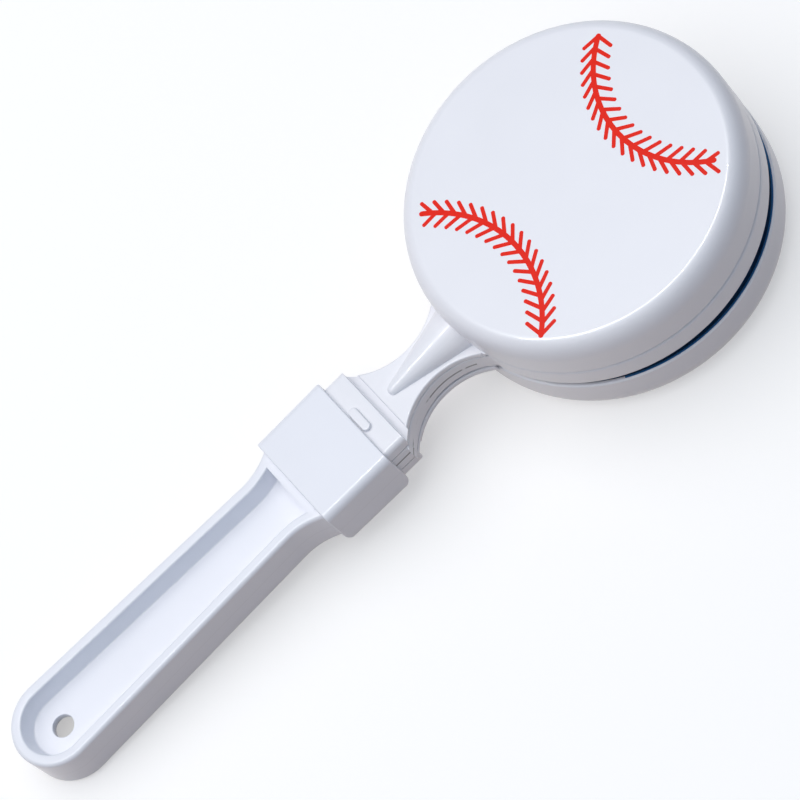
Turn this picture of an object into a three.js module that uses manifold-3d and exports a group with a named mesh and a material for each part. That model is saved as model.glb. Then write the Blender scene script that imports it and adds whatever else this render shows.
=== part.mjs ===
// Hand clapper: three stacked clapper discs on one handle, all of moulded white plastic.
// The middle disc is stiff. The two outer domes swing on thin moulded hinges and clap against it.
// Units are millimetres. While it is built, X runs from the handle to the head with 0 at the
// centre of the discs, Y runs across, and Z is 0 at the middle plane of the stack.
import * as THREE from 'three';
import { mergeVertices } from 'three/addons/utils/BufferGeometryUtils.js';
import Module from 'manifold-3d';

const wasm = await Module();
wasm.setup();

// Discs and domes
const discRadius = 35;
const discThickness = 5.6;
const discRimWidth = 2.2;
const discWebThickness = 2.2;
const discEdgeTaper = 0.15;
const discEdgeChamfer = 0.35;
const domeHeight = 10.4;
const domeWall = 2;
const domeEdgeWidth = 3.3;
const domeEdgeDepth = 4.85;

// Necks, which run from the roots to the discs
const neckThickness = 4.5;
const armThickness = 1.4;
const waistSetback = 9.5;
const waistWidth = 8.8;
const neckSideRadius = 15;

// Hollow half-cone rib on each outer arm
const ribTipSetback = 2.05;
const ribTipRadius = 1.1;
const ribHeadRadius = 4.6;
const ribWall = 1.2;

// Moulded hinge between each outer root and its arm
const hingeLength = 1.75;
const hingeThickness = 0.6;
const hingeSeam = 0.1;
const backRestOpening = 1.94;

// Roots, which stand stacked in the handle's socket
const rootSetback = 11.7;
const rootLength = 19.8;
const rootWidth = 20.7;
const rootStackThickness = 10.6;
const rootEdgeRadius = 1.1;
const rootCornerRadius = 1;
const stopWidth = 2;
const stopLength = 6.7;
const stopHeight = 0.65;
const pegRadius = 1.8;
const pegHeight = 1.6;
const pegSpacing = 10;
const pegSetback = 10;
const snapRadius = 0.9;
const snapHeight = 0.4;
const snapSetback = 4.5;
const snapEndGap = 0.3;

// Handle: a channelled grip that flares into the socket's collar
const collarSetback = 4.8;
const collarWidth = 24.1;
const collarThickness = 12.7;
const collarEdgeRadius = 1.65;
const collarEndInset = 0.15;
const socketEndGap = 0.7;
const socketEndWall = 0.9;
const gripThickness = 10;
const gripEdgeRadius = 1.3;
const gripNeckWidth = 15.8;
const gripEndWidth = 18.9;
const flareLength = 7.6;
const flareWidth = 20.2;
const gripLength = 56.8;
const holeDiameter = 4.6;
const channelEndWall = 1.6;
const rimWidth = 2.75;
const channelTaper = 0.9;
const webThickness = 1.8;

// Running gap between neighbouring leaves, and the clearance of what sits in the socket
const leafGap = 0.2;
const seatClearance = 0.2;

// Steps in round outlines, and how near two corners are before they count as one
const discSteps = 72;
const edgeSteps = 5;
const curveSteps = 8;
const smallRoundSteps = 20;
const mergeDistance = 1e-4;

// What cutting tools reach past a face, and the shortest edge kept after a cut
const overlap = 1;
const shortestEdge = 0.03;

const armBottom = neckThickness / 2 + leafGap;
const armTop = armBottom + armThickness;
const rimLevel = discThickness / 2 + leafGap;
const faceLevel = rimLevel + domeHeight;
const rootTop = rootStackThickness / 2;
const waistDistance = discRadius + waistSetback;
const rootFrontDistance = waistDistance + rootSetback;
const rootEnd = rootFrontDistance + rootLength;
const pegDistance = rootEnd - pegSetback;
const snapDistance = rootEnd - snapSetback;
const armStart = rootFrontDistance - hingeLength;
const hingeCentre = rootFrontDistance - hingeLength / 2;
const ribTipDistance = armStart - ribTipSetback;
const hingeLevel = armBottom + hingeThickness / 2;
const collarMouthDistance = rootFrontDistance + collarSetback;
const collarEnd = rootEnd + socketEndGap + socketEndWall;
const collarMiddle = (collarMouthDistance + collarEnd) / 2;
const flareEnd = collarEnd + flareLength;
const holeDistance = flareEnd + gripLength;
const gripEndRadius = gripEndWidth / 2;

const white = { roughness: 0.34, metalness: 0 };
const handleColour = 0xeef1f7;
const leafColour = 0xf0f3f9;

function toSolid(geometry) {
  const plain = geometry.clone();
  plain.deleteAttribute('normal');
  plain.deleteAttribute('uv');
  const merged = mergeVertices(plain, mergeDistance);
  return new wasm.Manifold(new wasm.Mesh({
    numProp: 3,
    vertProperties: new Float32Array(merged.attributes.position.array),
    triVerts: new Uint32Array(merged.index.array),
  }));
}

function toGeometry(solid) {
  const mesh = solid.simplify(shortestEdge).getMesh();
  const geometry = new THREE.BufferGeometry();
  geometry.setAttribute('position', new THREE.BufferAttribute(mesh.vertProperties, 3));
  geometry.setIndex(new THREE.BufferAttribute(mesh.triVerts, 1));
  geometry.computeVertexNormals();
  return geometry;
}

function joined(...solids) {
  return solids.reduce((sum, solid) => sum.add(solid));
}

// A box from its lowest to its highest corner
function box(low, high) {
  const size = high.map((value, axis) => value - low[axis]);
  const middle = high.map((value, axis) => (value + low[axis]) / 2);
  return toSolid(new THREE.BoxGeometry(...size).translate(...middle));
}

// An upright round bar between two levels
function bar(radius, x, y, bottom, top, steps = smallRoundSteps) {
  const geometry = new THREE.CylinderGeometry(radius, radius, top - bottom, steps);
  geometry.rotateX(Math.PI / 2);
  geometry.translate(x, y, (bottom + top) / 2);
  return toSolid(geometry);
}

// A flat outline raised from one level to another
function plate(outline, bottom, top) {
  const geometry = new THREE.ExtrudeGeometry(outline, {
    depth: top - bottom,
    bevelEnabled: false,
    curveSegments: curveSteps,
  });
  return toSolid(geometry.translate(0, 0, bottom));
}

// A profile of [radius, level] points turned about the discs' axis
function turned(profile) {
  const points = profile.map(([radius, level]) => new THREE.Vector2(radius, level));
  const geometry = new THREE.LatheGeometry(points, discSteps);
  return toSolid(geometry.rotateX(Math.PI / 2));
}

// Points of a quarter ellipse from the side of a wall to its top
function ellipseEdge(sideRadius, topLevel, width, depth) {
  const points = [];
  for (let step = 0; step <= edgeSteps; step += 1) {
    const angle = (Math.PI / 2) * (step / edgeSteps);
    const radius = sideRadius - width * (1 - Math.cos(angle));
    points.push([radius, topLevel - depth * (1 - Math.sin(angle))]);
  }
  return points;
}

// A rectangle with round corners: thickness along X, width along Y
function roundedRectangle(width, thickness, radius) {
  const x = thickness / 2 - radius;
  const y = width / 2 - radius;
  const section = new THREE.Shape();
  section.absarc(x, y, radius, 0, Math.PI / 2);
  section.absarc(-x, y, radius, Math.PI / 2, Math.PI);
  section.absarc(-x, -y, radius, Math.PI, Math.PI * 1.5);
  section.absarc(x, -y, radius, Math.PI * 1.5, Math.PI * 2);
  section.closePath();
  return section;
}

// A rounded block along X that grows by taper on every side towards its nearer end
function roundedBlock(width, thickness, radius, nearDistance, farDistance, taper = 0) {
  const length = farDistance - nearDistance;
  const section = roundedRectangle(width, thickness, radius);
  const geometry = new THREE.ExtrudeGeometry(section, {
    depth: length,
    bevelEnabled: false,
    curveSegments: edgeSteps,
  });
  const position = geometry.attributes.position;
  for (let index = 0; index < position.count; index += 1) {
    const inset = (taper * (length - position.getZ(index))) / length;
    const across = position.getX(index);
    const along = position.getY(index);
    position.setX(index, across - Math.sign(across) * inset);
    position.setY(index, along - Math.sign(along) * inset);
  }
  geometry.rotateY(Math.PI / 2);
  return toSolid(geometry.translate(-farDistance, 0, 0));
}

// A neck from its root end to a little way into the disc's edge, with an arc hollowing each side
function neckOutline(rootDistance) {
  const arcCentre = waistWidth / 2 + neckSideRadius;
  const headDistance = discRadius - discRimWidth / 2;
  const rootAngle = Math.acos((waistDistance - rootDistance) / neckSideRadius);
  const headAngle = Math.acos((waistDistance - headDistance) / neckSideRadius);
  const outline = new THREE.Shape();
  outline.absarc(-waistDistance, -arcCentre, neckSideRadius, rootAngle, headAngle, true);
  outline.absarc(-waistDistance, arcCentre, neckSideRadius, -headAngle, -rootAngle, true);
  outline.closePath();
  return outline;
}

// Shallow ridges on a root's narrow sides, or with growth the grooves that they snap into
function snapRidges(bottom, top, growth) {
  const y = rootWidth / 2 - snapRadius + snapHeight;
  return joined(
    bar(snapRadius + growth, -snapDistance, y, bottom, top),
    bar(snapRadius + growth, -snapDistance, -y, bottom, top),
  );
}

// Pegs that lock the stacked roots together, or with growth the holes that they enter
function pegs(bottom, top, growth) {
  return joined(
    bar(pegRadius + growth, -pegDistance, pegSpacing / 2, bottom, top),
    bar(pegRadius + growth, -pegDistance, -pegSpacing / 2, bottom, top),
  );
}

// The grip's outline, drawn inwards by inset
function gripOutline(inset, startDistance) {
  const endRadius = gripEndRadius - inset;
  const neckHalf = gripNeckWidth / 2 - inset;
  const flareHalf = flareWidth / 2 - inset;
  const start = -startDistance;
  const end = -holeDistance;
  const neck = -flareEnd;
  const control = -(collarEnd + flareLength / 2);
  const outline = new THREE.Shape();
  outline.moveTo(start, -flareHalf);
  outline.lineTo(start, flareHalf);
  outline.lineTo(-collarEnd, flareHalf);
  outline.quadraticCurveTo(control, neckHalf, neck, neckHalf);
  outline.lineTo(end, endRadius);
  outline.absarc(end, 0, endRadius, Math.PI / 2, Math.PI * 1.5);
  outline.lineTo(neck, -neckHalf);
  outline.quadraticCurveTo(control, -neckHalf, -collarEnd, -flareHalf);
  outline.closePath();
  return outline;
}

// The grip as a solid bar with rounded long edges
function gripBody() {
  const outline = gripOutline(gripEdgeRadius, collarMiddle);
  const geometry = new THREE.ExtrudeGeometry(outline, {
    depth: gripThickness - 2 * gripEdgeRadius,
    bevelSize: gripEdgeRadius,
    bevelThickness: gripEdgeRadius,
    bevelSegments: edgeSteps,
    curveSegments: curveSteps * 2,
  });
  return toSolid(geometry.translate(0, 0, gripEdgeRadius - gripThickness / 2));
}

// One channel, with tapered sides, from the web out through the face. It stops before the collar.
function gripChannel() {
  const depth = (gripThickness - webThickness) / 2;
  const outline = gripOutline(rimWidth + channelTaper, collarEnd - overlap);
  const geometry = new THREE.ExtrudeGeometry(outline, {
    depth: overlap,
    bevelSize: channelTaper,
    bevelThickness: depth,
    bevelSegments: 1,
    curveSegments: curveSteps,
  });
  geometry.translate(0, 0, webThickness / 2 + depth);
  const reach = holeDistance + gripEndWidth;
  const keep = box(
    [-reach, -gripEndWidth, 0],
    [-collarEnd - channelEndWall, gripEndWidth, gripThickness / 2 + overlap],
  );
  return toSolid(geometry).intersect(keep);
}

function handleSolid() {
  const collar = roundedBlock(
    collarWidth, collarThickness, collarEdgeRadius, collarMouthDistance, collarEnd, collarEndInset,
  );
  const socket = roundedBlock(
    rootWidth + 2 * seatClearance, rootStackThickness + 2 * seatClearance, rootEdgeRadius,
    collarMouthDistance - overlap, collarEnd - socketEndWall,
  );
  const grooves = snapRidges(-rootTop, rootTop, seatClearance);
  const channel = gripChannel();
  const half = gripThickness / 2;
  const hole = bar(holeDiameter / 2, -holeDistance, 0, -half, half);
  return joined(gripBody(), collar)
    .subtract(socket)
    .subtract(grooves)
    .subtract(channel)
    .subtract(channel.rotate([180, 0, 0]))
    .subtract(hole);
}

function middleDisc() {
  const half = discThickness / 2;
  const web = discWebThickness / 2;
  const inner = discRadius - discRimWidth;
  const edge = discRadius - discEdgeTaper;
  const upper = [
    [0, web],
    [inner - discEdgeTaper, web],
    [inner, half],
    [edge - discEdgeChamfer, half],
    [edge, half - discEdgeChamfer],
    [discRadius, 0],
  ];
  const lower = upper.slice(0, -1).reverse().map(([radius, level]) => [radius, -level]);
  return turned([...upper, ...lower].reverse());
}

function middleClapperSolid() {
  const half = neckThickness / 2;
  const cleared = bar(discRadius - discRimWidth / 2, 0, 0, -half - overlap, half + overlap, discSteps);
  return joined(
    rootLayer(-half, half),
    plate(neckOutline(rootFrontDistance), -half, half).subtract(cleared),
    middleDisc(),
    pegs(-half - pegHeight, half + pegHeight, 0),
    snapRidges(snapEndGap - half, half - snapEndGap, 0),
  );
}

// One layer of the roots, with round corners seen from above
function rootLayer(bottom, top) {
  const outline = roundedRectangle(rootWidth, rootLength, rootCornerRadius);
  return plate(outline, bottom, top).translate([-rootFrontDistance - rootLength / 2, 0, 0]);
}

// Root of an outer leaf: the upper layer of the rounded stack, with a stop bump on its face
function rootSolid() {
  const block = roundedBlock(
    rootWidth, rootStackThickness, rootEdgeRadius, rootFrontDistance, rootEnd,
  );
  const upper = rootLayer(armBottom, rootTop);
  const holes = pegs(0, neckThickness / 2 + pegHeight + seatClearance, seatClearance);
  const ridges = snapRidges(armBottom + snapEndGap, rootTop - rootEdgeRadius - snapEndGap, 0);
  return joined(block.intersect(upper), ridges, stopBump()).subtract(holes);
}

// An oval bump, flat against the collar's mouth, which sets how deep the root goes in
function stopBump() {
  const stop = new THREE.Shape();
  const near = -collarMouthDistance + seatClearance;
  const straight = stopLength / 2 - stopWidth / 2;
  const middle = near + stopWidth / 2;
  stop.absarc(middle, straight, stopWidth / 2, 0, Math.PI);
  stop.absarc(middle, -straight, stopWidth / 2, Math.PI, Math.PI * 2);
  stop.closePath();
  const bevel = stopHeight / 2;
  const geometry = new THREE.ExtrudeGeometry(stop, {
    depth: stopHeight / 2 + overlap,
    bevelSize: bevel,
    bevelOffset: -bevel,
    bevelThickness: bevel,
    bevelSegments: 2,
    curveSegments: curveSteps,
  });
  const raised = geometry.translate(0, 0, rootTop - overlap);
  const above = box(
    [-rootEnd, -rootWidth, rootTop - overlap / 2], [0, rootWidth, rootTop + stopHeight],
  );
  return toSolid(raised).intersect(above);
}

// The thin web keeps the neck's outline between the root and the arm
function hingeWebSolid() {
  const top = armBottom + hingeThickness;
  const width = rootWidth;
  const span = box(
    [hingeSeam - rootFrontDistance, -width, armBottom],
    [-armStart - hingeSeam, width, top],
  );
  return plate(neckOutline(rootFrontDistance), armBottom, top).intersect(span);
}

function domeShell() {
  const flatWidth = Math.max(domeEdgeWidth - domeWall / 2, domeWall / 2);
  const flatDepth = Math.max(domeEdgeDepth - domeWall / 2, domeWall / 2);
  const outside = ellipseEdge(discRadius, faceLevel, domeEdgeWidth, domeEdgeDepth);
  const inside = ellipseEdge(
    discRadius - domeWall, faceLevel - domeWall, flatWidth, flatDepth,
  ).reverse();
  return turned([
    [0, faceLevel - domeWall],
    ...inside,
    [discRadius - domeWall, rimLevel],
    [discRadius, rimLevel],
    ...outside,
    [0, faceLevel],
  ]);
}

// The rib's radius at a distance from the disc's centre, where it is a plain cone
function ribRadius(distance) {
  const coneStart = ribTipDistance - ribTipRadius;
  const slope = (ribHeadRadius - ribTipRadius) / (coneStart - discRadius);
  return ribTipRadius + slope * (coneStart - distance);
}

// A profile of [radius, distance] points turned about a line along the arm's outer face
function turnedAlongArm(profile) {
  const points = profile.map(([radius, distance]) => new THREE.Vector2(radius, -distance));
  const geometry = new THREE.LatheGeometry(points, smallRoundSteps * 2);
  geometry.rotateZ(-Math.PI / 2);
  return toSolid(geometry.translate(0, 0, armTop));
}

// The cone with its round tip, from the arm's root end into the dome's wall
function ribOutside() {
  const profile = [[0, ribTipDistance]];
  for (let step = 1; step <= edgeSteps; step += 1) {
    const angle = (Math.PI / 2) * (step / edgeSteps);
    const distance = ribTipDistance - ribTipRadius * (1 - Math.cos(angle));
    profile.push([ribTipRadius * Math.sin(angle), distance]);
  }
  const end = discRadius - domeWall;
  return turnedAlongArm([...profile, [ribRadius(end), end], [0, end]]);
}

// The cone's hollow, which opens towards the middle leaf
function ribHollow() {
  const start = ribTipDistance - ribTipRadius - 2 * ribWall;
  const end = discRadius + ribWall;
  return turnedAlongArm([
    [0, start],
    [ribRadius(start) - ribWall, start],
    [ribRadius(end) - ribWall, end],
    [0, end],
  ]);
}

function armSolid() {
  const reach = rootWidth;
  const below = box([-rootEnd, -reach, -faceLevel], [0, reach, armBottom]);
  const rib = ribOutside().subtract(below);
  const insideDome = bar(discRadius - domeWall / 2, 0, 0, 0, faceLevel, discSteps);
  const aroundDisc = bar(discRadius + leafGap, 0, 0, 0, rimLevel, discSteps);
  return joined(plate(neckOutline(armStart), armBottom, armTop), rib)
    .subtract(ribHollow())
    .subtract(insideDome)
    .subtract(aroundDisc);
}

function outerClapperSolid() {
  return joined(armSolid(), domeShell());
}

function piece(name, solid, colour) {
  const material = new THREE.MeshStandardMaterial({ color: colour, ...white });
  const mesh = new THREE.Mesh(toGeometry(solid), material);
  mesh.name = name;
  return mesh;
}

// An outer leaf: its root, its hinge web, and the clapper turned about the hinge by opening
function outerLeaf(side, opening) {
  const leaf = new THREE.Group();
  const pivot = new THREE.Group();
  const clapper = piece(`${side}_clapper`, outerClapperSolid(), leafColour);
  pivot.position.set(-hingeCentre, 0, hingeLevel);
  clapper.position.set(hingeCentre, 0, -hingeLevel);
  pivot.rotation.y = -THREE.MathUtils.degToRad(opening);
  pivot.add(clapper);
  leaf.add(piece(`${side}_root`, rootSolid(), leafColour));
  leaf.add(piece(`${side}_hinge_web`, hingeWebSolid(), leafColour));
  leaf.add(pivot);
  return leaf;
}

function handClapper() {
  const clapper = new THREE.Group();
  const back = outerLeaf('back', backRestOpening);
  back.rotation.x = Math.PI;
  clapper.add(piece('handle', handleSolid(), handleColour));
  clapper.add(piece('middle_clapper', middleClapperSolid(), leafColour));
  clapper.add(outerLeaf('front', 0));
  clapper.add(back);
  return clapper;
}

// Set down with the back dome's lowest edge at Z 0 and the origin under the middle of the box
function setDown(model) {
  model.updateMatrixWorld(true);
  const bounds = new THREE.Box3().setFromObject(model, true);
  const middle = bounds.getCenter(new THREE.Vector3());
  model.position.set(-middle.x, -middle.y, -bounds.min.z);
  const placed = new THREE.Group();
  placed.add(model);
  return placed;
}

export default setDown(handClapper());
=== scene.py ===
import math
import bmesh
import bpy
from mathutils import Matrix, Vector


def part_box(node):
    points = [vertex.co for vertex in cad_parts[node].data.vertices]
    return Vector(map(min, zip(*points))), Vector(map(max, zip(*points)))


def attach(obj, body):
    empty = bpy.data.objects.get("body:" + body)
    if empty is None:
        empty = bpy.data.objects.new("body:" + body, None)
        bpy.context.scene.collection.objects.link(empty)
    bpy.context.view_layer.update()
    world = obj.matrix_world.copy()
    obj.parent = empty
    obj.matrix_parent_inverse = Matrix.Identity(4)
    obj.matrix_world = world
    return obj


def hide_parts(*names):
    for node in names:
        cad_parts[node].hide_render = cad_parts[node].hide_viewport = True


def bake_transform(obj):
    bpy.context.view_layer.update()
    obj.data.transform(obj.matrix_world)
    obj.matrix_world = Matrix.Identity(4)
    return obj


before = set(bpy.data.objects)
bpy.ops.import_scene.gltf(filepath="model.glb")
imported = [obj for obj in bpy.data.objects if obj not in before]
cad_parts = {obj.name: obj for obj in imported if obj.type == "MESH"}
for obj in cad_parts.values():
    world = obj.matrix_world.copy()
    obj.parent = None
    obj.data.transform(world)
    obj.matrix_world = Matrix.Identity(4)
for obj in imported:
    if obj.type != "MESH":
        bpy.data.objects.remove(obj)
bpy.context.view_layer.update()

# Everything below is measured in millimetres from the centre of the discs: x runs towards the
# head, y across, z out of the printed face. at() turns such a point into the frame's metres.
mm = 0.001
discRadius = 35
middleLow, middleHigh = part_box("middle_clapper")
headX = middleHigh.x - discRadius * mm
headZ = (middleLow.z + middleHigh.z) / 2

# Limits for the picks, and how far a cutter passes what it cuts, in mm
hair = 0.001
touching = 0.01
close = 0.05
near = 0.1
tall = 0.5
spare = 1
longSide = 5

# Limits for a part of a unit normal
square = 0.1
upright = 0.5
facing = 0.9
flat = 0.999


def at(x, y, z):
    return Vector((headX + x * mm, y * mm, headZ + z * mm))


def inMm(point):
    return Vector(((point.x - headX) / mm, point.y / mm, (point.z - headZ) / mm))


# Modelling helpers

def activate(piece):
    if bpy.context.object and bpy.context.object.mode != "OBJECT":
        bpy.ops.object.mode_set(mode="OBJECT")
    bpy.ops.object.select_all(action="DESELECT")
    bpy.context.view_layer.objects.active = piece
    piece.select_set(True)


def placed(name):
    piece = bpy.context.object
    piece.name = name
    bpy.ops.object.transform_apply(location=True, rotation=True, scale=True)
    return piece


def addBlock(name, low, high):
    low, high = at(*low), at(*high)
    bpy.ops.object.select_all(action="DESELECT")
    bpy.ops.mesh.primitive_cube_add(size=1, location=(low + high) / 2, scale=high - low)
    return placed(name)


def addBar(name, radius, x, y, bottom, top, sides=96):
    bpy.ops.object.select_all(action="DESELECT")
    bpy.ops.mesh.primitive_cylinder_add(vertices=sides, radius=radius * mm,
                                        depth=(top - bottom) * mm,
                                        location=at(x, y, (bottom + top) / 2))
    return placed(name)


# A cone along x, given by its radius at each end
def addCone(name, rearX, rearRadius, frontX, frontRadius, z, sides=64):
    bpy.ops.object.select_all(action="DESELECT")
    bpy.ops.mesh.primitive_cone_add(vertices=sides, radius1=rearRadius * mm,
                                    radius2=frontRadius * mm, depth=(frontX - rearX) * mm,
                                    location=at((rearX + frontX) / 2, 0, z),
                                    rotation=(0, math.radians(90), 0))
    return placed(name)


def edit(piece):
    activate(piece)
    bpy.ops.object.mode_set(mode="EDIT")
    bpy.ops.mesh.select_all(action="DESELECT")


def endEdit():
    bpy.ops.object.mode_set(mode="OBJECT")


# The three picks select in edit mode by place (in mm) and normal
def pickPoints(piece, test):
    bpy.ops.mesh.select_mode(type="VERT")
    bpy.ops.mesh.select_all(action="DESELECT")
    mesh = bmesh.from_edit_mesh(piece.data)
    for point in mesh.verts:
        point.select_set(test(inMm(point.co)))
    mesh.select_flush_mode()
    bmesh.update_edit_mesh(piece.data)


def pickFaces(piece, test):
    bpy.ops.mesh.select_mode(type="FACE")
    bpy.ops.mesh.select_all(action="DESELECT")
    mesh = bmesh.from_edit_mesh(piece.data)
    mesh.normal_update()
    for face in mesh.faces:
        face.select_set(test(inMm(face.calc_center_median()), face.normal))
    mesh.select_flush_mode()
    bmesh.update_edit_mesh(piece.data)


# test gets the edge's two ends and the normals of its two faces
def pickEdges(piece, test):
    bpy.ops.mesh.select_mode(type="EDGE")
    bpy.ops.mesh.select_all(action="DESELECT")
    mesh = bmesh.from_edit_mesh(piece.data)
    mesh.normal_update()
    for edge in mesh.edges:
        if len(edge.link_faces) == 2:
            one, other = edge.link_faces
            ends = inMm(edge.verts[0].co), inMm(edge.verts[1].co)
            edge.select_set(test(*ends, one.normal, other.normal))
    mesh.select_flush_mode()
    bmesh.update_edit_mesh(piece.data)


def roundEdges(width, segments):
    bpy.ops.mesh.bevel(offset=width * mm, segments=segments, profile=0.5, affect="EDGES",
                       loop_slide=False)


# True for an edge between a level face and an upright one, by their normals
def flatAgainstSide(one, other):
    first, second = abs(one.z), abs(other.z)
    return (first > facing) != (second > facing) and min(first, second) < upright


def applied(piece, modifier):
    activate(piece)
    bpy.ops.object.modifier_apply(modifier=modifier.name)


def combine(piece, tool, operation):
    boolean = piece.modifiers.new("combine", "BOOLEAN")
    boolean.operation = operation
    boolean.solver = "EXACT"
    boolean.object = tool
    applied(piece, boolean)
    bpy.data.objects.remove(tool, do_unlink=True)
    return piece


def ownCopy(piece, name):
    copy = piece.copy()
    copy.data = piece.data.copy()
    copy.name = name
    bpy.context.collection.objects.link(copy)
    return copy


# Turns a piece and leaves its object at the origin
def turnInPlace(piece, matrix):
    activate(piece)
    piece.matrix_world = matrix @ piece.matrix_world
    bpy.ops.object.transform_apply(location=True, rotation=True, scale=True)


weldDistance = 0.002         # mm
smoothAngle = 32
normalWeight = 80


def finishMesh(piece):
    activate(piece)
    bpy.ops.object.mode_set(mode="EDIT")
    bpy.ops.mesh.select_all(action="SELECT")
    bpy.ops.mesh.remove_doubles(threshold=weldDistance * mm)
    bpy.ops.mesh.normals_make_consistent(inside=False)
    endEdit()
    bpy.ops.object.shade_smooth_by_angle(angle=math.radians(smoothAngle))
    weighted = piece.modifiers.new("weighted", "WEIGHTED_NORMAL")
    weighted.keep_sharp = True
    weighted.weight = normalWeight
    applied(piece, weighted)


def joinPieces(name, pieces):
    activate(pieces[0])
    for piece in pieces:
        piece.select_set(True)
    bpy.ops.object.join()
    pieces[0].name = name
    return pieces[0]


# Materials

plastic = {
    "handleColour": (0.84, 0.86, 0.925),
    "leafColour": (0.855, 0.865, 0.915),
    # painted shade: a dark navy for the shade in the gap between the leaves, put on the domes'
    # inside and rim
    "gapShadeColour": (0.02, 0.15, 0.38),
    "roughness": 0.34,
    "roughnessSpread": 0.07,
    "mottle": 0.03,          # how much the white wanders
    "mottleScale": 70,
    "mottleDetail": 3,
    "grainScale": 2600,      # fine orange-peel of the mould
    "grainDetail": 2,
    "grainDepth": 0.006,     # mm
    "grainStrength": 0.35,
    "coat": 0.3,
    "coatRoughness": 0.06,
}


def node(tree, kind, **values):
    made = tree.nodes.new(kind)
    for key, value in values.items():
        setattr(made, key, value)
    return made


def newMaterial(name):
    material = bpy.data.materials.new(name)
    material.use_nodes = True
    tree = material.node_tree
    shader = tree.nodes["Principled BSDF"]
    return material, tree, shader


# A two-colour mix of base colour driven by a factor socket
def mixColours(tree, factor, first, second):
    mix = node(tree, "ShaderNodeMix", data_type="RGBA")
    tree.links.new(factor, mix.inputs["Factor"])
    for socket, value in (("A", first), ("B", second)):
        target = [i for i in mix.inputs if i.name == socket and i.type == "RGBA"][0]
        if isinstance(value, bpy.types.NodeSocket):
            tree.links.new(value, target)
        else:
            target.default_value = (*value, 1)
    return [o for o in mix.outputs if o.type == "RGBA"][0]


# Glossy moulded plastic. seam describes the parting line, where one shows, with any painted
# shadow along it.
def mouldedPlastic(name, colour, seam=None):
    material, tree, shader = newMaterial(name)
    place = node(tree, "ShaderNodeTexCoord")
    mottle = node(tree, "ShaderNodeTexNoise")
    mottle.inputs["Scale"].default_value = plastic["mottleScale"]
    mottle.inputs["Detail"].default_value = plastic["mottleDetail"]
    tree.links.new(place.outputs["Object"], mottle.inputs["Vector"])
    darker = tuple(channel * (1 - plastic["mottle"]) for channel in colour)
    tint = mixColours(tree, mottle.outputs["Fac"], darker, colour)
    if seam:
        tint = partingLineAndShadow(tree, place, tint, colour, seam)
    tree.links.new(tint, shader.inputs["Base Color"])
    gloss = node(tree, "ShaderNodeMapRange")
    halfSpread = plastic["roughnessSpread"] / 2
    gloss.inputs["To Min"].default_value = plastic["roughness"] - halfSpread
    gloss.inputs["To Max"].default_value = plastic["roughness"] + halfSpread
    tree.links.new(mottle.outputs["Fac"], gloss.inputs["Value"])
    tree.links.new(gloss.outputs["Result"], shader.inputs["Roughness"])
    grain = node(tree, "ShaderNodeTexNoise")
    grain.inputs["Scale"].default_value = plastic["grainScale"]
    grain.inputs["Detail"].default_value = plastic["grainDetail"]
    tree.links.new(place.outputs["Object"], grain.inputs["Vector"])
    bump = node(tree, "ShaderNodeBump")
    bump.inputs["Strength"].default_value = plastic["grainStrength"]
    bump.inputs["Distance"].default_value = plastic["grainDepth"] * mm
    tree.links.new(grain.outputs["Fac"], bump.inputs["Height"])
    tree.links.new(bump.outputs["Normal"], shader.inputs["Normal"])
    shader.inputs["Coat Weight"].default_value = plastic["coat"]
    shader.inputs["Coat Roughness"].default_value = plastic["coatRoughness"]
    return material


# Darkens a thin band at mid-height, where the two halves of the mould met; on the neck the band
# is painted shadow along the flash of that line
def partingLineAndShadow(tree, place, tint, colour, seam):
    split = node(tree, "ShaderNodeSeparateXYZ")
    tree.links.new(place.outputs["Object"], split.inputs["Vector"])
    away = node(tree, "ShaderNodeMath", operation="SUBTRACT")
    away.inputs[1].default_value = headZ
    tree.links.new(split.outputs["Z"], away.inputs[0])
    size = node(tree, "ShaderNodeMath", operation="ABSOLUTE")
    tree.links.new(away.outputs[0], size.inputs[0])
    band = node(tree, "ShaderNodeMapRange")
    band.inputs["From Min"].default_value = seam["half"] * mm
    band.inputs["From Max"].default_value = (seam["half"] + seam["fade"]) * mm
    band.inputs["To Min"].default_value = seam["strength"]
    band.inputs["To Max"].default_value = 0
    tree.links.new(size.outputs[0], band.inputs["Value"])
    depth = band.outputs["Result"]
    if seam["endX"]:
        depth = brokenUp(tree, place, split, depth, seam)
    return mixColours(tree, depth, tint, tuple(c * seam["darkest"] for c in colour))


# Keeps the dark only in scattered dashes, and only behind endX
def brokenUp(tree, place, split, depth, seam):
    dashes = node(tree, "ShaderNodeTexNoise")
    dashes.inputs["Scale"].default_value = seam["dashScale"]
    tree.links.new(place.outputs["Object"], dashes.inputs["Vector"])
    kept = node(tree, "ShaderNodeMapRange")
    kept.inputs["From Min"].default_value = seam["dashFrom"]
    kept.inputs["From Max"].default_value = seam["dashFull"]
    tree.links.new(dashes.outputs["Fac"], kept.inputs["Value"])
    behind = node(tree, "ShaderNodeMath", operation="LESS_THAN")
    behind.inputs[1].default_value = at(seam["endX"], 0, 0).x
    tree.links.new(split.outputs["X"], behind.inputs[0])
    for share in (kept.outputs["Result"], behind.outputs[0]):
        product = node(tree, "ShaderNodeMath", operation="MULTIPLY")
        tree.links.new(depth, product.inputs[0])
        tree.links.new(share, product.inputs[1])
        depth = product.outputs[0]
    return depth


ink = {
    "colour": (0.93, 0.018, 0.004),
    "worn": (0.84, 0.013, 0.003),
    "roughness": 0.32,
    "gloss": 0.1,
    "patchScale": 500,
    "patchDetail": 3,
    "patchDepth": 0.005,     # mm
    "patchStrength": 0.2,
}


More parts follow.
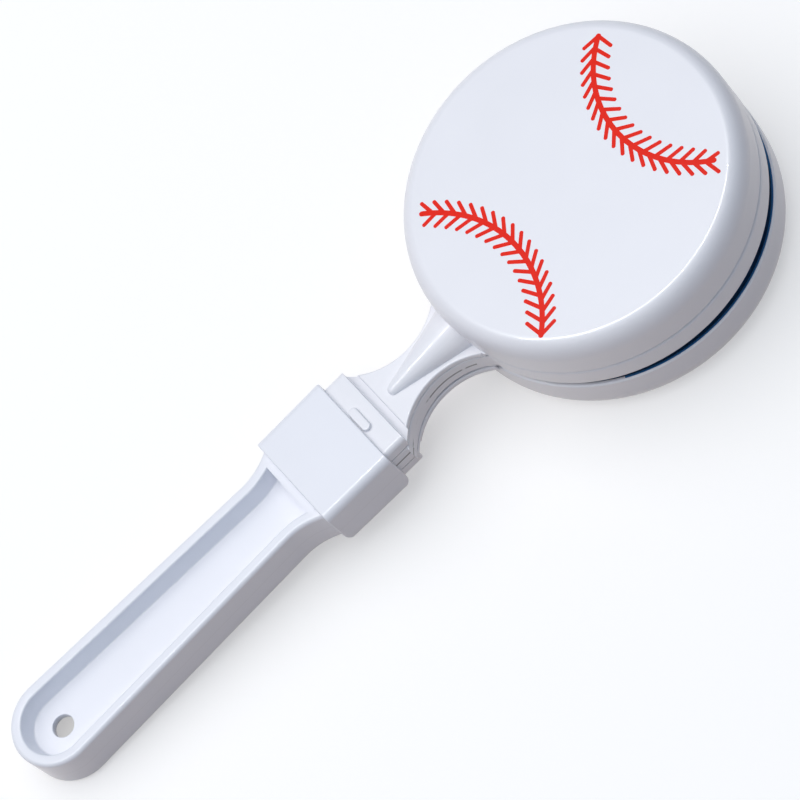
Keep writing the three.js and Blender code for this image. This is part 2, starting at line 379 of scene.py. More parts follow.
def redInk():
    material, tree, shader = newMaterial("stitchInk")
    place = node(tree, "ShaderNodeTexCoord")
    patchy = node(tree, "ShaderNodeTexNoise")
    patchy.inputs["Scale"].default_value = ink["patchScale"]
    patchy.inputs["Detail"].default_value = ink["patchDetail"]
    tree.links.new(place.outputs["Object"], patchy.inputs["Vector"])
    tint = mixColours(tree, patchy.outputs["Fac"], ink["colour"], ink["worn"])
    tree.links.new(tint, shader.inputs["Base Color"])
    bump = node(tree, "ShaderNodeBump")
    bump.inputs["Strength"].default_value = ink["patchStrength"]
    bump.inputs["Distance"].default_value = ink["patchDepth"] * mm
    tree.links.new(patchy.outputs["Fac"], bump.inputs["Height"])
    tree.links.new(bump.outputs["Normal"], shader.inputs["Normal"])
    shader.inputs["Roughness"].default_value = ink["roughness"]
    shader.inputs["Specular IOR Level"].default_value = ink["gloss"]
    return material


# half and fade give a seam's width in mm, strength and darkest how dark it is
handleSeam = {
    "half": 0.03,
    "fade": 0.11,
    "strength": 0.15,
    "darkest": 0.55,
    "endX": None,            # it runs all round, unbroken
}
# The neck's parting line: its near-black dashes are painted shadow, the shade along the flash of
# the line
neckSeamShadow = {
    "half": 0.1,
    "fade": 0.24,
    "strength": 0.85,
    "darkest": 0.12,
    "endX": -36.5,
    "dashScale": 230,
    "dashFrom": 0.43,
    "dashFull": 0.48,
}
handleWhite = mouldedPlastic("handleWhite", plastic["handleColour"], handleSeam)
middleWhite = mouldedPlastic("middleWhite", plastic["leafColour"], neckSeamShadow)
leafWhite = mouldedPlastic("leafWhite", plastic["leafColour"])
# Painted shade: the domes' inside faces and rim get a dark navy that stands for the shade in the
# gap
gapShadeNavy = mouldedPlastic("gapShadeNavy", plastic["gapShadeColour"])
stitchInk = redInk()
print("materials done")


def dress(piece, material, body, slotName, *nodes):
    piece.data.materials.clear()
    piece.data.materials.append(material)
    if body:
        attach(piece, body)
    if nodes:
        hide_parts(*nodes)


# Necks, shared by the three leaves

neck = {
    "waistX": -44.5,
    "waistHalf": 4.4,
    "sideRadius": 15,
    "halfThickness": 2.25,
    "edge": 0.35,
    "plateHalf": 12,         # before its sides are cut
    "biteSides": 192,
    "sharpLength": 1.5,      # its front end lies inside a disc and keeps its edges
}


def neckHalf(x):
    offset = x - neck["waistX"]
    reach = math.sqrt(neck["sideRadius"] ** 2 - offset ** 2)
    return neck["waistHalf"] + neck["sideRadius"] - reach


# A plate with a round bite out of each side, its long edges eased
def waistedPlate(name, rearX, frontX, bottom, top):
    plate = addBlock(name, (rearX, -neck["plateHalf"], bottom),
                     (frontX, neck["plateHalf"], top))
    for side in (-1, 1):
        y = side * (neck["waistHalf"] + neck["sideRadius"])
        bite = addBar("bite", neck["sideRadius"], neck["waistX"], y, bottom - spare,
                      top + spare, neck["biteSides"])
        combine(plate, bite, "DIFFERENCE")
    edit(plate)
    pickEdges(plate, lambda a, b, one, other: flatAgainstSide(one, other)
              and max(a.x, b.x) < frontX - neck["sharpLength"])
    roundEdges(neck["edge"], segments=3)
    endEdit()
    return plate


# Outer leaves: dome, arm and hollow rib, all one moulding

dome = {
    "radius": discRadius,
    "rimLevel": 3.1,
    "rimOutside": 0.45,
    "gapShadeRimX": -18,         # nearer the neck the rim gets no painted shade
    "rimInside": 0.25,
    "faceLevel": 13.37,      # the ink stands 0.03 above it
    "wall": 1.0,
    "edgeWidth": 3.3,
    "edgeDepth": 4.85,
    "sides": 192,
    "looksIn": 0.1,          # how far a face leans inwards, or down, to count as inside
    "looksDown": 0.3,
    "rimSlack": 0.02,
    "plugBottom": 0,         # of the cutter that clears the arm out of the dome
    "plugTop": 13,
    "underBottom": -1,       # of the cutter that keeps the arm's front end over the rim's level
    "underSpare": 0.2,
    "underGap": 0.02,
}
arm = {
    "startX": -54.45,
    "frontX": -33,           # inside the dome's wall
    "bottom": 2.45,
    "top": 3.85,
    "ribTipX": -52.4,
    "ribTipRadius": 0.87,
    "ribSlope": 0.2147,
    "ribWall": 1.2,
    "ribWide": 1.15,
    "ribLow": 0.9,
    "ribTipEdge": 0.8,
    "ribFoot": 0.3,          # how far above the arm's underside the rib starts
    "hollowStartX": -48.9,
    "hollowEndX": -36.2,
}


def buildDome():
    face = dome["faceLevel"]
    width = dome["edgeWidth"]
    stretch = dome["edgeDepth"] / width
    shell = addBar("frontLeaf", dome["radius"], 0, 0, dome["rimLevel"], face, dome["sides"])
    edit(shell)
    pickEdges(shell, lambda a, b, one, other: min(a.z, b.z) > face - near)
    roundEdges(width, segments=16)
    pickPoints(shell, lambda p: p.z > face - width - close)
    bpy.ops.transform.resize(value=(1, 1, stretch), center_override=at(0, 0, face))
    pickFaces(shell, lambda p, normal: normal.z < -facing)
    bpy.ops.mesh.delete(type="FACE")
    endEdit()
    wall = shell.modifiers.new("wall", "SOLIDIFY")
    wall.thickness = dome["wall"] * mm
    wall.offset = -1
    wall.use_even_offset = True
    applied(shell, wall)
    edit(shell)
    middle = dome["radius"] - dome["wall"] / 2
    pickEdges(shell, lambda a, b, one, other: max(a.z, b.z) < dome["rimLevel"] + close
              and flatAgainstSide(one, other) and a.xy.length > middle)
    roundEdges(dome["rimOutside"], segments=6)
    pickEdges(shell, lambda a, b, one, other: max(a.z, b.z) < dome["rimLevel"] + close
              and flatAgainstSide(one, other) and a.xy.length < middle)
    roundEdges(dome["rimInside"], segments=3)
    endEdit()
    return shell


def ribRadius(x):
    return arm["ribTipRadius"] + arm["ribSlope"] * (x - arm["ribTipX"])


def buildRib():
    tipX, frontX = arm["ribTipX"], arm["frontX"]
    rib = addCone("rib", tipX, ribRadius(tipX), frontX, ribRadius(frontX), arm["top"])
    edit(rib)
    pickEdges(rib, lambda a, b, one, other: max(a.x, b.x) < tipX + close)
    roundEdges(arm["ribTipEdge"], segments=6)
    bpy.ops.mesh.select_all(action="SELECT")
    bpy.ops.transform.resize(value=(1, arm["ribWide"], arm["ribLow"]),
                             center_override=at(0, 0, arm["top"]))
    bpy.ops.mesh.bisect(plane_co=at(0, 0, arm["bottom"] + arm["ribFoot"]), plane_no=(0, 0, 1),
                        clear_inner=True, use_fill=True)
    endEdit()
    return rib


def buildOuterLeaf():
    leaf = waistedPlate("arm", arm["startX"], arm["frontX"], arm["bottom"], arm["top"])
    combine(leaf, buildRib(), "UNION")
    start, end = arm["hollowStartX"], arm["hollowEndX"]
    hollow = addCone("hollow", start, ribRadius(start) - arm["ribWall"],
                     end, ribRadius(end) - arm["ribWall"], arm["top"])
    combine(leaf, hollow, "DIFFERENCE")
    underRim = addBar("underRim", dome["radius"] + dome["underSpare"], 0, 0,
                      dome["underBottom"], dome["rimLevel"] - dome["underGap"], dome["sides"])
    combine(leaf, underRim, "DIFFERENCE")
    hollowPlug = addBar("hollowPlug", dome["radius"] - dome["wall"] / 2, 0, 0,
                        dome["plugBottom"], dome["plugTop"], dome["sides"])
    combine(leaf, hollowPlug, "DIFFERENCE")
    shell = combine(buildDome(), leaf, "UNION")
    finishMesh(shell)
    return shell


backOpening = math.radians(1.94)
hingeX = -55.325
hingeLevel = 2.75


# What a front piece needs to become the back one: turned over, then swung open by angle
def toBack(angle):
    head = Matrix.Translation(at(0, 0, 0))
    pivot = Matrix.Translation(Vector((hingeX, 0, hingeLevel)) * mm)
    swing = pivot @ Matrix.Rotation(-angle, 4, "Y") @ pivot.inverted()
    return head @ Matrix.Rotation(math.pi, 4, "X") @ swing @ head.inverted()


# Faces that get the painted shade of the gap: the inside of the dome and, away from the neck, its
# rim, where they look inwards or down
def shadedInsideFaces(place, normal):
    out = place.xy.length
    withinWall = out < dome["radius"] - dome["wall"] + close
    rimEnd = dome["radius"] - dome["rimOutside"] + dome["rimSlack"]
    onRim = out < rimEnd and place.x > dome["gapShadeRimX"]
    looksIn = normal.xy.dot(place.xy) < -dome["looksIn"] * out
    return (withinWall or onRim) and (looksIn or normal.z < -dome["looksDown"])


# Paints the shade of the gap onto the dome's inside faces and rim, as a second material
def paintGapShade(leaf):
    leaf.data.materials.append(gapShadeNavy)
    edit(leaf)
    pickFaces(leaf, shadedInsideFaces)
    leaf.active_material_index = 1
    bpy.ops.object.material_slot_assign()
    endEdit()


frontLeaf = buildOuterLeaf()
dress(frontLeaf, leafWhite, "front_leaf", "leaf_plastic", "front_clapper")
paintGapShade(frontLeaf)
backLeaf = ownCopy(frontLeaf, "backLeaf")
turnInPlace(backLeaf, toBack(backOpening))
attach(backLeaf, "back_leaf")
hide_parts("back_clapper")
print("outer leaves done")


# Roots, stacked in the socket

root = {
    "frontX": -56.2,
    "rearX": -76,
    "half": 10.35,
    "top": 5.3,
    "longEdge": 1.1,
    "corner": 0.3,
    "backCorner": 1.1,
    "frontEdge": 0.15,       # of the outer face, towards the head
    "backFrontEdge": 2.8,
    "stopX": -59.8,
    "stopY": -0.6,
    "stopHalf": 3.1,
    "stopHeight": 0.65,
    "stopRadius": 1,
    "stopEdge": 0.35,
    "stopSides": 48,
    "layerGap": 0.01,        # the middle tongue is this much thinner on each side
    "past": 0.5,             # how far a layer or the bump runs past the top
}


# One layer of a block whose long edges are round over the whole stack
def rootLayer(name, bottom, top, corner):
    stack = addBlock(name, (root["rearX"], -root["half"], -root["top"]),
                     (root["frontX"], root["half"], root["top"]))
    edit(stack)
    pickEdges(stack, lambda a, b, one, other: abs(a.x - b.x) > longSide)
    roundEdges(root["longEdge"], segments=7)
    endEdit()
    layer = addBlock("layer", (root["rearX"], -root["half"] - hair, bottom),
                     (root["frontX"], root["half"] + hair, top))
    edit(layer)
    pickEdges(layer, lambda a, b, one, other: abs(a.z - b.z) > tall)
    roundEdges(corner, segments=7)
    endEdit()
    return combine(stack, layer, "INTERSECT")


def buildStop():
    radius = root["stopRadius"]
    stop = addBar("stop", radius, root["stopX"], root["stopY"], root["top"] - root["past"],
                  root["top"] + root["stopHeight"], root["stopSides"])
    edit(stop)
    for side in (-1, 1):
        pickPoints(stop, lambda p: (p.y - root["stopY"]) * side > hair)
        bpy.ops.transform.translate(value=(0, side * (root["stopHalf"] - radius) * mm, 0))
    pickEdges(stop, lambda a, b, one, other: flatAgainstSide(one, other)
              and min(a.z, b.z) > root["top"])
    roundEdges(root["stopEdge"], segments=4)
    endEdit()
    return stop


def buildOuterRoot(name, frontEdge, corner):
    block = rootLayer(name, arm["bottom"], root["top"] + root["past"], corner)
    edit(block)
    pickEdges(block, lambda a, b, one, other: min(a.x, b.x) > root["frontX"] - touching
              and min(a.z, b.z) > root["top"] - touching)
    roundEdges(frontEdge, segments=6)
    endEdit()
    combine(block, buildStop(), "UNION")
    finishMesh(block)
    return block


frontRoot = buildOuterRoot("frontRoot", root["frontEdge"], root["corner"])
backRoot = buildOuterRoot("backRoot", root["backFrontEdge"], root["backCorner"])
turnInPlace(backRoot, toBack(0))
dress(frontRoot, leafWhite, "grip", "leaf_plastic", "front_root")
dress(backRoot, leafWhite, "grip", "leaf_plastic", "back_root")
print("roots done")


# Hinge webs, thin strips that bend in use, built here flat

web = {
    "rearX": -56.3,
    "frontX": -54.35,
    "thickness": 0.6,
    "lift": 0.005,           # above the arm's underside
    "steps": 12,
}


def buildWeb():
    width = neckHalf(web["frontX"])
    bottom = arm["bottom"]
    strip = addBlock("frontWeb", (web["rearX"], -width, bottom + web["lift"]),
                     (web["frontX"], width, bottom + web["thickness"]))
    edit(strip)
    length = web["frontX"] - web["rearX"]
    stations = [web["rearX"] + length * step / web["steps"] for step in range(web["steps"])]
    for x in stations[1:]:
        bpy.ops.mesh.select_all(action="SELECT")
        bpy.ops.mesh.bisect(plane_co=at(x, 0, 0), plane_no=(1, 0, 0))
    for x in stations:
        pickPoints(strip, lambda p: abs(p.x - x) < touching)
        bpy.ops.transform.resize(value=(1, neckHalf(x) / width, 1), center_override=at(x, 0, 0))
    endEdit()
    finishMesh(strip)
    return strip


def bendWeb(strip):
    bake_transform(strip)


frontWeb = buildWeb()
backWeb = ownCopy(frontWeb, "backWeb")
turnInPlace(backWeb, toBack(0))
dress(frontWeb, leafWhite, None, "leaf_plastic", "front_hinge_web")
dress(backWeb, leafWhite, None, "leaf_plastic", "back_hinge_web")
bendWeb(frontWeb)
bendWeb(backWeb)
print("hinge webs done")


# Middle leaf: recessed disc, neck and root tongue

disc = {
    "radius": discRadius,
    "half": 2.8,
    "taper": 0.1,
    "edge": 0.7,
    "rim": 2.2,
    "webHalf": 1.1,
    "middle": 1,             # the top and bottom faces have their centre within this
    "recessEdge": 0.2,
    "recessLimit": 1.5,      # edges nearer the rim than this stay as they are
    "neckRearX": -57.2,
    "neckFrontX": -33.5,
}


def buildMiddleLeaf():
    half = disc["half"]
    plate = addBar("middleLeaf", disc["radius"], 0, 0, -half, half, dome["sides"])
    edit(plate)
    bpy.ops.mesh.select_all(action="SELECT")
    bpy.ops.mesh.bisect(plane_co=at(0, 0, 0), plane_no=(0, 0, 1))
    pickPoints(plate, lambda p: abs(p.z) > half - near)
    shrink = (disc["radius"] - disc["taper"]) / disc["radius"]
    bpy.ops.transform.resize(value=(shrink, shrink, 1), center_override=at(0, 0, 0))
    pickEdges(plate, lambda a, b, one, other: flatAgainstSide(one, other))
    roundEdges(disc["edge"], segments=6)
    pickFaces(plate, lambda p, normal: abs(normal.z) > flat
              and p.xy.length < disc["middle"])
    bpy.ops.mesh.inset(thickness=(disc["rim"] - disc["edge"]) * mm)
    bpy.ops.mesh.inset(thickness=disc["taper"] * mm, depth=-(half - disc["webHalf"]) * mm)
    pickEdges(plate, lambda a, b, one, other: flatAgainstSide(one, other)
              and a.xy.length < disc["radius"] - disc["recessLimit"])
    roundEdges(disc["recessEdge"], segments=3)
    endEdit()
    neckPlate = waistedPlate("neck", disc["neckRearX"], disc["neckFrontX"],
                             -neck["halfThickness"], neck["halfThickness"])
    combine(plate, neckPlate, "UNION")
    level = neck["halfThickness"] - root["layerGap"]
    tongue = rootLayer("tongue", -level, level, root["corner"])
    combine(plate, tongue, "UNION")
    finishMesh(plate)
    return plate


middleLeaf = buildMiddleLeaf()
dress(middleLeaf, middleWhite, "grip", "leaf_plastic", "middle_clapper")
print("middle leaf done")


# Handle: channelled grip, flare, collar and socket

handle = {
    "half": 5,
    "edge": 0.85,
    "holeX": -142,
    "endHalf": 9.45,
    "neckX": -85.2,
    "neckHalf": 7.9,
    "flareHalf": 10.1,
    "flareSteps": 8,
    "collarRearX": -77.6,
    "collarFrontX": -61,
    "collarHalf": 12.05,
    "collarTop": 6.35,
    "collarEdge": 1.65,
    "collarEndEdge": 0.3,
    "collarUnderEdge": 4.0,  # the end edges of its underside
    "collarTaper": 0.15,
    "socketEndX": -76.7,
    "socketHalf": 10.55,
    "socketTop": 5.4,
    "rimInset": 1.45,
    "wallTaper": 0.9,
    "channelDepth": 4.1,
    "channelEndX": -79.2,
    "endWallHalf": 7.5,
    "insideX": -70,          # as far as the grip reaches before the socket is cut
    "holeRadius": 2.3,
    "holeEdge": 0.2,
    "holeSlack": 0.02,
    "holeReach": 3,          # of its cutter, past the web on each side
    "holeSides": 64,
    "endSides": 128,
    "mouthEdge": 0.2,
    "channelEdge": 0.35,
    "rimHair": 0.004,        # the end wall stays this much under the rims
    "profileHalf": 13,       # of the block that rounds the collar's underside
    "profileTop": 7,
}


def gripStations():
    stations = [(handle["neckX"], handle["neckHalf"])]
    length = handle["collarRearX"] - handle["neckX"]
    grow = handle["flareHalf"] - handle["neckHalf"]
    steps = handle["flareSteps"]
    for step in range(1, steps + 1):
        share = step / steps
        x = handle["neckX"] + length * share
        stations.append((x, handle["neckHalf"] + grow * share ** 2))
    stations[-1] = (handle["collarRearX"] + near, handle["flareHalf"])   # just inside the collar
    stations.append((handle["insideX"], handle["flareHalf"]))
    return stations


def buildGrip():
    half = handle["half"]
    grip = addBar("handleBody", handle["endHalf"], handle["holeX"], 0, -half, half,
                  handle["endSides"])
    edit(grip)
    bpy.ops.mesh.select_all(action="SELECT")
    bpy.ops.mesh.bisect(plane_co=at(handle["holeX"], 0, 0), plane_no=(1, 0, 0),
                        clear_outer=True, use_fill=True)
    x, width = handle["holeX"], handle["endHalf"]
    for nextX, nextWidth in gripStations():
        pickFaces(grip, lambda p, normal: normal.x > facing and p.x > x - near)
        bpy.ops.mesh.extrude_region_move(
            TRANSFORM_OT_translate={"value": ((nextX - x) * mm, 0, 0)})
        bpy.ops.transform.resize(value=(1, nextWidth / width, 1),
                                 center_override=at(nextX, 0, 0))
        x, width = nextX, nextWidth
    for side in (-1, 1):
        pickFaces(grip, lambda p, normal: normal.z * side > facing)
        bpy.ops.mesh.dissolve_faces()
    pickEdges(grip, lambda a, b, one, other: flatAgainstSide(one, other)
              and min(a.x, b.x) < x - near)
    roundEdges(handle["edge"], segments=8)
    pickFaces(grip, lambda p, normal: abs(normal.z) > flat)
    bpy.ops.mesh.inset(thickness=handle["rimInset"] * mm)
    bpy.ops.mesh.inset(thickness=handle["wallTaper"] * mm, depth=-handle["channelDepth"] * mm)
    pickEdges(grip, lambda a, b, one, other: flatAgainstSide(one, other)
              and max(a.x, b.x) < x - near)
    roundEdges(handle["channelEdge"], segments=4)
    endEdit()
    level = half - handle["rimHair"]
    endWall = addBlock("endWall", (handle["channelEndX"], -handle["endWallHalf"], -level),
                       (x - near, handle["endWallHalf"], level))
    combine(grip, endWall, "UNION")
    return grip


def buildCollar():
    collar = addBlock("collar",
                      (handle["collarRearX"], -handle["collarHalf"], -handle["collarTop"]),
                      (handle["collarFrontX"], handle["collarHalf"], handle["collarTop"]))
    edit(collar)
    pickPoints(collar, lambda p: p.x < handle["collarRearX"] + near)
    narrow = 1 - handle["collarTaper"] / handle["collarHalf"]
    thin = 1 - handle["collarTaper"] / handle["collarTop"]
    bpy.ops.transform.resize(value=(1, narrow, thin), center_override=at(0, 0, 0))
    pickEdges(collar, lambda a, b, one, other: abs(a.x - b.x) > longSide)
    roundEdges(handle["collarEdge"], segments=10)
    pickEdges(collar, lambda a, b, one, other: (abs(one.x) > facing)
              != (abs(other.x) > facing))
    roundEdges(handle["collarEndEdge"], segments=4)
    endEdit()
    width, top = handle["profileHalf"], handle["profileTop"]
    under = addBlock("under", (handle["collarRearX"] - touching, -width, -handle["collarTop"]),
                     (handle["collarFrontX"] + touching, width, top))
    edit(under)
    pickEdges(under, lambda a, b, one, other: max(a.z, b.z) < 0 and abs(a.y - b.y) > longSide)
    roundEdges(handle["collarUnderEdge"], segments=8)
    endEdit()
    combine(collar, under, "INTERSECT")
    return collar


def buildSocket():
    socket = addBlock("socket",
                      (handle["socketEndX"], -handle["socketHalf"], -handle["socketTop"]),
                      (handle["collarFrontX"] + spare, handle["socketHalf"], handle["socketTop"]))
    edit(socket)
    pickEdges(socket, lambda a, b, one, other: abs(a.x - b.x) > longSide)
    roundEdges(root["longEdge"], segments=7)
    endEdit()
    return socket


def buildHandle():
    body = combine(buildGrip(), buildCollar(), "UNION")
    combine(body, buildSocket(), "DIFFERENCE")
    reach = handle["holeReach"]
    hole = addBar("hole", handle["holeRadius"], handle["holeX"], 0, -reach, reach,
                  handle["holeSides"])
    combine(body, hole, "DIFFERENCE")
    edit(body)

    def atHoleRim(point):
        offset = Vector((point.x - handle["holeX"], point.y))
        return abs(offset.length - handle["holeRadius"]) < handle["holeSlack"]

    pickEdges(body, lambda a, b, one, other: flatAgainstSide(one, other)
              and atHoleRim(a) and atHoleRim(b))
    roundEdges(handle["holeEdge"], segments=3)
    pickEdges(body, lambda a, b, one, other: (one.x > facing) != (other.x > facing)
              and min(a.x, b.x) > handle["collarFrontX"] - touching
              and min(abs(one.x), abs(other.x)) < square)
    roundEdges(handle["mouthEdge"], segments=3)
    endEdit()
    finishMesh(body)
    return body


handleBody = buildHandle()
dress(handleBody, handleWhite, "grip", "handle_plastic", "handle")
print("handle done")


# Printed stitches on the front face

# Each row is an arc about a centre, from its arrow end round to its tail, with angles in degrees.
# The legs' outer ends go from the first share of the arc to the last. A leg starts its lead
# back along the arc, and reaches away from it by its reach. Both are in mm.
stitches = {
    "spineWidth": 1.08,
    "legWidth": 0.84,
    "spineInk": 0.03,
    "capInk": 0.026,
    "legInk": 0.022,
    "sunk": 0.01,
    "endSides": 20,          # of the round ends
    "spineSteps": 90,
    "lastBend": 12,          # high, so that only the last legs take lastReach
    "right": {
        "centre": (36.4, -1.3), "radius": 23.3, "from": 122.5, "to": 231.5,
        "inner": {"count": 17, "first": 0.041, "last": 1.02, "lead": (1.8, 2.4),
                  "reach": 3.0, "lastReach": 1.3},
        "outer": {"count": 19, "first": 0.059, "last": 1.017, "lead": (2.7, 2.4),
                  "reach": 2.3, "lastReach": 2.5},
    },
    "left": {
        "centre": (-40.9, -1.3), "radius": 25.5, "from": -48.2, "to": 48.3,
        "inner": {"count": 16, "first": 0.062, "last": 0.984, "lead": (2.5, 2.3),
                  "reach": 3.0, "lastReach": 2.4},
        "outer": {"count": 18, "first": 0.06, "last": 1.001, "lead": (2.6, 2.3),
                  "reach": 2.4, "lastReach": 2.1},
    },
}


def onArc(row, share, offset=0):
    angle = math.radians(row["from"] + (row["to"] - row["from"]) * share)
    radius = row["radius"] + offset
    return Vector((row["centre"][0] + radius * math.cos(angle),
                   row["centre"][1] + radius * math.sin(angle)))


# A leg 1 mm long, along x from the centre of the face
def buildLeg():
    face = dome["faceLevel"]
    leg = addBar("leg", stitches["legWidth"] / 2, 0, 0, face - stitches["sunk"],
                 face + stitches["legInk"], stitches["endSides"])
    edit(leg)
    pickPoints(leg, lambda p: p.x > hair)
    bpy.ops.transform.translate(value=(1 * mm, 0, 0))
    endEdit()
    return leg


def addLeg(leg, start, end):
    copy = ownCopy(leg, "leg")
    way = end - start
    edit(copy)
    pickPoints(copy, lambda p: p.x > tall)
    bpy.ops.transform.translate(value=((way.length - 1) * mm, 0, 0))
    endEdit()
    head = Matrix.Translation(at(0, 0, 0))
    turn = Matrix.Rotation(math.atan2(way.y, way.x), 4, "Z")
    turnInPlace(copy, Matrix.Translation((*(start * mm), 0)) @ head @ turn @ head.inverted())
    return copy


def buildSpine(row, name):
    face = dome["faceLevel"]
    sweep = math.radians(row["to"] - row["from"])
    start = onArc(row, 0)
    middle = face + (stitches["spineInk"] - stitches["sunk"]) / 2
    bpy.ops.object.select_all(action="DESELECT")
    bpy.ops.mesh.primitive_plane_add(size=1, location=at(*start, middle),
                                     rotation=(math.radians(90), 0, math.radians(row["from"])))
    bpy.context.object.scale = (stitches["spineWidth"] * mm,
                                (stitches["spineInk"] + stitches["sunk"]) * mm, 1)
    spine = placed(name)
    edit(spine)
    bpy.ops.mesh.select_all(action="SELECT")
    bpy.ops.mesh.spin(steps=stitches["spineSteps"], angle=-sweep,
                      center=at(*row["centre"], face), axis=(0, 0, 1))
    bpy.ops.mesh.select_all(action="SELECT")
    bpy.ops.mesh.remove_doubles(threshold=weldDistance * mm)
    bpy.ops.mesh.normals_make_consistent(inside=False)
    endEdit()
    return spine


def buildRow(row, name, leg):
    parts = [buildSpine(row, name)]
    for share in (0, 1):
        parts.append(addBar("cap", stitches["spineWidth"] / 2, *onArc(row, share),
                            dome["faceLevel"] - stitches["sunk"],
                            dome["faceLevel"] + stitches["capInk"],
                            stitches["endSides"]))
    perMm = 360 / (2 * math.pi * row["radius"] * (row["to"] - row["from"]))
    for side, away in (("inner", -1), ("outer", 1)):
        legs = row[side]
        for index in range(legs["count"]):
            along = index / (legs["count"] - 1)
            share = legs["first"] + (legs["last"] - legs["first"]) * along
            lead = legs["lead"][0] + (legs["lead"][1] - legs["lead"][0]) * along
            bend = along ** stitches["lastBend"]
            reach = legs["reach"] + (legs["lastReach"] - legs["reach"]) * bend
            start = onArc(row, max(0, share - lead * perMm))
            parts.append(addLeg(leg, start, onArc(row, share, away * reach)))
    return joinPieces(name, parts)


leg = buildLeg()
for side in ("right", "left"):
    printed = buildRow(stitches[side], side + "Stitches", leg)
    dress(printed, stitchInk, "front_leaf", "leaf_plastic")
bpy.data.objects.remove(leg, do_unlink=True)
print("stitches done")


# Floor, light and camera

stage = {
    "underDome": (-32.1, -14.28),          # x and z of the two places that touch the floor
    "underHandle": (-150.2, -5.06),
    "floorBounce": (0.54, 0.405, 0.33),    # what the object gets back from the floor
    "floorGlow": 0.45,       # the camera sees the lit floor as white, and its shadow as pale grey
    "floorWhite": 1.08,      # the lit floor's own colour and its glow together
    "floorSize": 8,          # in metres, as are the lamps' sizes and places
    "sky": 0.3,
    "skyColour": (0.52, 0.73, 1.0),
    "keyPower": 11.6,
    "keyColour": (1, 0.95, 0.91),
    "keySize": (1.5, 1.5),
    "keyPlace": (-0.15, 0.2, 0.95),
    "glintPower": 7.5,       # a strip lamp that only the gloss shows
    "glintSize": (0.8, 0.025),
    "glintPlace": (0, 0.26, 0.95),
}


# Camera rays and what gloss reflects see the white stage, and light that bounces doesn't
def seenRays(tree):
    path = node(tree, "ShaderNodeLightPath")
    seen = path.outputs["Is Camera Ray"]
    for kind in ("Is Glossy Ray", "Is Transmission Ray"):
        either = node(tree, "ShaderNodeMath", operation="MAXIMUM")
        tree.links.new(seen, either.inputs[0])
        tree.links.new(path.outputs[kind], either.inputs[1])
        seen = either.outputs[0]
    return seen


# The clapper lies on the edge of its back dome and on the end of its handle
def addFloor():
    high, low = (at(x, 0, z) for x, z in (stage["underHandle"], stage["underDome"]))
    tilt = math.atan2(high.z - low.z, low.x - high.x)
    bpy.ops.object.select_all(action="DESELECT")
    bpy.ops.mesh.primitive_plane_add(size=stage["floorSize"], location=low,
                                     rotation=(0, tilt, 0))
    floor = placed("floor")
    material = bpy.data.materials.new("paleFloor")
    material.use_nodes = True
    tree = material.node_tree
    tree.nodes.clear()
    out = node(tree, "ShaderNodeOutputMaterial")
    bounce = node(tree, "ShaderNodeBsdfDiffuse")
    bounce.inputs["Color"].default_value = (*stage["floorBounce"], 1)
    seen = node(tree, "ShaderNodeBsdfDiffuse")
    seen.inputs["Color"].default_value = (*[stage["floorWhite"] - stage["floorGlow"]] * 3, 1)
    glow = node(tree, "ShaderNodeEmission")
    glow.inputs["Strength"].default_value = stage["floorGlow"]
    both = node(tree, "ShaderNodeAddShader")
    tree.links.new(seen.outputs[0], both.inputs[0])
    tree.links.new(glow.outputs[0], both.inputs[1])
    mix = node(tree, "ShaderNodeMixShader")
    tree.links.new(seenRays(tree), mix.inputs["Fac"])
    tree.links.new(bounce.outputs[0], mix.inputs[1])
    tree.links.new(both.outputs[0], mix.inputs[2])
    tree.links.new(mix.outputs[0], out.inputs["Surface"])
    floor.data.materials.append(material)


def addLamp(name, size, power, place):
    light = bpy.data.lights.new(name, "AREA")
    light.shape = "RECTANGLE"
    light.size, light.size_y = size
    light.energy = power
    lamp = bpy.data.objects.new(name, light)
    bpy.context.collection.objects.link(lamp)
    lamp.location = place
    lamp.rotation_euler = (-Vector(place)).to_track_quat("-Z", "Y").to_euler()
    return lamp


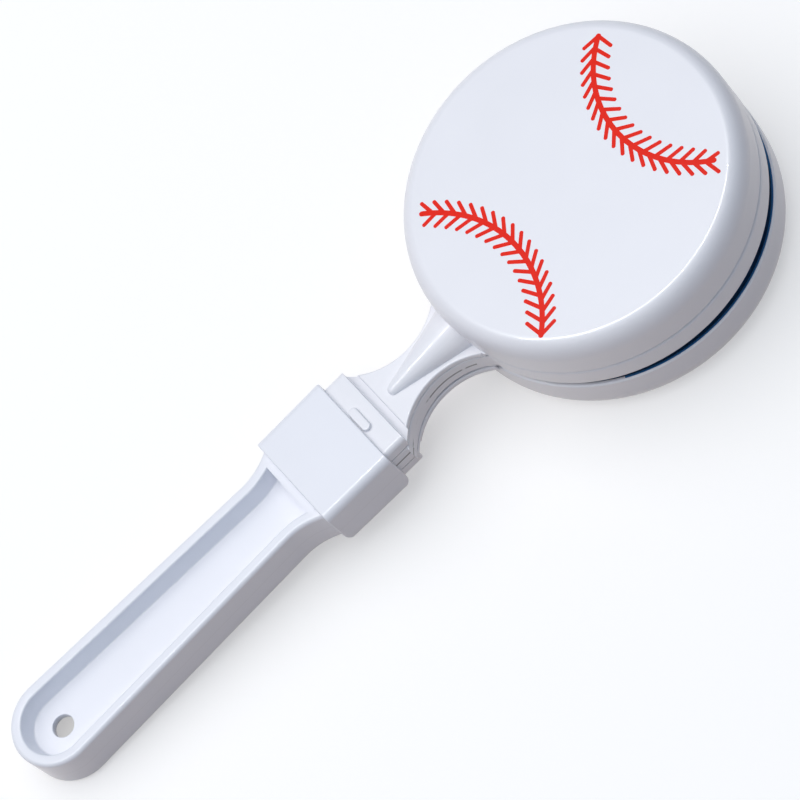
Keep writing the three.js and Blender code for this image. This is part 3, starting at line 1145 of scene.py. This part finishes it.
def lightScene():
    world = bpy.data.worlds.new("studio")
    bpy.context.scene.world = world
    world.use_nodes = True
    tree = world.node_tree
    background = tree.nodes["Background"]
    background.inputs["Color"].default_value = (*stage["skyColour"], 1)
    background.inputs["Strength"].default_value = stage["sky"]
    white = node(tree, "ShaderNodeBackground")
    white.inputs["Color"].default_value = (1, 1, 1, 1)
    mix = node(tree, "ShaderNodeMixShader")
    tree.links.new(seenRays(tree), mix.inputs["Fac"])
    tree.links.new(background.outputs[0], mix.inputs[1])
    tree.links.new(white.outputs[0], mix.inputs[2])
    tree.links.new(mix.outputs[0], tree.nodes["World Output"].inputs["Surface"])
    key = addLamp("softbox", stage["keySize"], stage["keyPower"], stage["keyPlace"])
    key.data.color = stage["keyColour"]
    key.visible_glossy = False
    glint = addLamp("glint", stage["glintSize"], stage["glintPower"], stage["glintPlace"])
    glint.visible_diffuse = False


# The photograph's viewpoint, found by fitting the discs, collar and handle to it
camera = {
    "azimuth": 3.716,
    "elevation": 57.890,
    "roll": -47.685,
    "distance": 856,
    "aim": (-51.895, -0.352, 0),
    "focalPixels": 4466,
    "framePixels": 800,
    "sensor": 36,
    "nearest": 0.01,         # in metres
}


def addCamera():
    azimuth, elevation, roll = (math.radians(camera[k]) for k in ("azimuth", "elevation", "roll"))
    towards = Vector((math.sin(azimuth) * math.cos(elevation),
                      -math.cos(azimuth) * math.cos(elevation), math.sin(elevation)))
    level = Vector((0, 0, 1)).cross(towards).normalized()
    upright = towards.cross(level)
    right = math.cos(roll) * level + math.sin(roll) * upright
    up = -math.sin(roll) * level + math.cos(roll) * upright
    data = bpy.data.cameras.new("camera")
    data.lens = camera["focalPixels"] / camera["framePixels"] * camera["sensor"]
    data.sensor_width = camera["sensor"]
    data.clip_start = camera["nearest"]
    eye = bpy.data.objects.new("camera", data)
    bpy.context.collection.objects.link(eye)
    turn = Matrix((right, up, towards)).transposed().to_4x4()
    place = at(*camera["aim"]) + towards * camera["distance"] * mm
    eye.matrix_world = Matrix.Translation(place) @ turn
    bpy.context.scene.camera = eye


addFloor()
lightScene()
addCamera()
bpy.context.scene.view_settings.view_transform = "Standard"
print("stage done")
